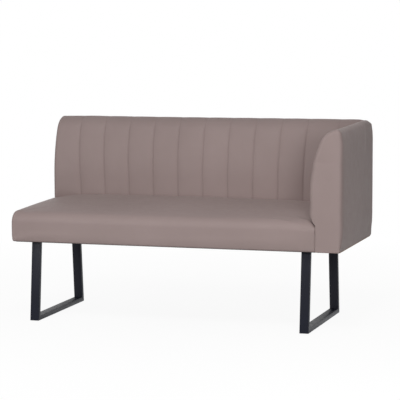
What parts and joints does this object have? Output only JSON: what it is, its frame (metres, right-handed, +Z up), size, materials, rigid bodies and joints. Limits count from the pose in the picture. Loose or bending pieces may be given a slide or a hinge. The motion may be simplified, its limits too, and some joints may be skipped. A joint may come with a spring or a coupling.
{
  "type": "corner dining bench",
  "caption": "Upholstered corner bench with a channelled back, one arm of the same height, a crowned seat and two splayed square-tube skid legs.",
  "frame": {"origin": "centre of the bounding box's footprint, on the floor under the glides", "axes": "+X along the bench towards the arm, +Y towards the back, +Z up; the open front faces -Y"},
  "size_m": [1.48, 0.63, 0.87],
  "materials": {
    "cover": "satin taupe faux leather",
    "foam": "matt polyurethane foam",
    "plywood": "raw birch plywood",
    "timber": "raw softwood",
    "hardboard": "raw hardboard",
    "webbing": "woven elastic webbing",
    "dust_cloth": "black non-woven cloth",
    "skid_steel": "matt black powder coat",
    "zinc_steel": "zinc plated",
    "glide": "matt black nylon"
  },
  "bodies": {
    "root": {"arm_bottom_rail": "timber", "arm_foam": "foam", "arm_front_cover": "cover", "arm_inner_board": "hardboard", "arm_inner_cover": "cover", "arm_joining_bolts": "zinc_steel", "arm_joining_tee_nuts": "zinc_steel", "arm_outer_board": "hardboard", "arm_outer_cover": "cover", "arm_rib_1": "plywood", "arm_rib_2": "plywood", "arm_rib_3": "plywood", "arm_seat_rail": "timber", "arm_top_rail": "timber", "back_bottom_rail": "timber", "back_channel_cover": "cover", "back_end_cover": "cover", "back_foam": "foam", "back_front_board": "hardboard", "back_joining_bolts": "zinc_steel", "back_joining_tee_nuts": "zinc_steel", "back_rear_board": "hardboard", "back_rear_cover": "cover", "back_rib_1": "plywood", "back_rib_2": "plywood", "back_rib_3": "plywood", "back_rib_4": "plywood", "back_rib_5": "plywood", "back_seat_rail": "timber", "back_top_rail": "timber", "corner_post": "timber", "cross_seat_webbing": "webbing", "floor_glides": "glide", "left_cross_rail": "timber", "left_mounting_strip": "skid_steel", "left_skid_frame": "skid_steel", "long_seat_webbing": "webbing", "middle_cross_rail": "timber", "right_cross_rail": "timber", "right_mounting_strip": "skid_steel", "right_skid_frame": "skid_steel", "seat_corner_blocks": "timber", "seat_cover": "cover", "seat_foam": "foam", "seat_front_rail": "timber", "seat_left_rail": "timber", "seat_rear_rail": "timber", "seat_right_rail": "timber", "skid_bolts": "zinc_steel", "skid_tee_nuts": "zinc_steel", "underside_dust_cover": "dust_cloth"}
  },
  "joints": []
}
